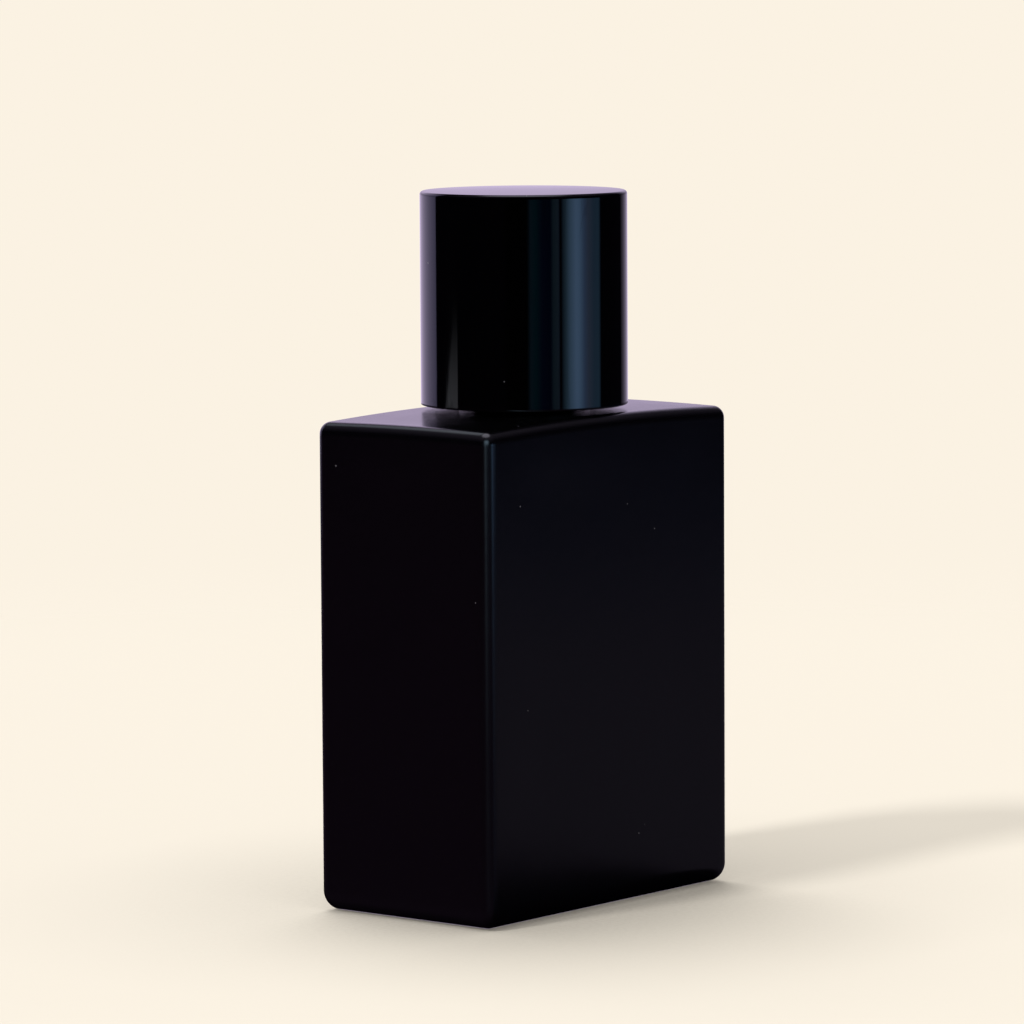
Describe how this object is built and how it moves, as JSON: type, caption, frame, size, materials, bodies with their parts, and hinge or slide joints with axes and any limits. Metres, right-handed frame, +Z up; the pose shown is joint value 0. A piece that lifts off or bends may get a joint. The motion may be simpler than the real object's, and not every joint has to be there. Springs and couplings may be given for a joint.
{
  "type": "aftershave bottle",
  "caption": "Rectangular aftershave bottle of satin black lacquered glass with a crimped spray pump, a turning spray button and a glossy cylindrical press-on cap.",
  "frame": {"origin": "centre of the base's underside, on the surface that the bottle stands on", "axes": "+Z up along the neck, +X across the wide faces, -Y out of the wide front face, where the nozzle points"},
  "size_m": [0.0542, 0.0308, 0.0994],
  "materials": {
    "lacquered_glass": "satin black lacquer over clear glass",
    "gasket_rubber": "soft matte grey",
    "ferrule_aluminium": "bright drawn",
    "pump_plastic": "natural moulded",
    "tube_plastic": "natural extruded, translucent",
    "spring_steel": "bright drawn wire",
    "button_plastic": "fine moulded black",
    "nozzle_plastic": "polished black",
    "black_aluminium": "gloss black anodised",
    "cap_gloss": "piano black, polished",
    "liner_plastic": "moulded black"
  },
  "bodies": {
    "bottle": {"glass_bottle": "lacquered_glass", "neck_gasket": "gasket_rubber", "crimp_ferrule": "ferrule_aluminium", "pump_housing": "pump_plastic", "turret": "pump_plastic", "stem_seal": "gasket_rubber", "dip_tube": "tube_plastic", "return_spring": "spring_steel", "collar_sleeve": "black_aluminium", "collar_insert": "button_plastic"},
    "cap": {"cap_shell": "cap_gloss", "cap_liner": "liner_plastic"},
    "stem": {"pump_stem": "pump_plastic"},
    "button": {"actuator_core": "button_plastic", "nozzle_insert": "nozzle_plastic", "actuator_shell": "black_aluminium"},
    "piston": {"piston": "pump_plastic"},
    "ball": {"inlet_ball": "spring_steel"}
  },
  "joints": [
    {"name": "cap_lift", "type": "slide", "parent": "bottle", "child": "cap", "axis": [0, 0, 1], "range_m": [0, 0.032]},
    {"name": "stem_press", "type": "slide", "parent": "bottle", "child": "stem", "axis": [0, 0, -1], "range_m": [0, 0.0034], "stiffness_N_per_m": 2500, "springref_m": -0.003, "deforming": ["return_spring"]},
    {"name": "button_turn", "type": "hinge", "parent": "stem", "child": "button", "pos_m": [0, 0, 0.0872], "axis": [0, 0, 1], "continuous": true},
    {"name": "piston_slip", "type": "slide", "parent": "stem", "child": "piston", "axis": [0, 0, 1], "range_m": [0, 0.0005]},
    {"name": "ball_lift", "type": "slide", "parent": "bottle", "child": "ball", "axis": [0, 0, 1], "range_m": [0, 0.0012]}
  ]
}
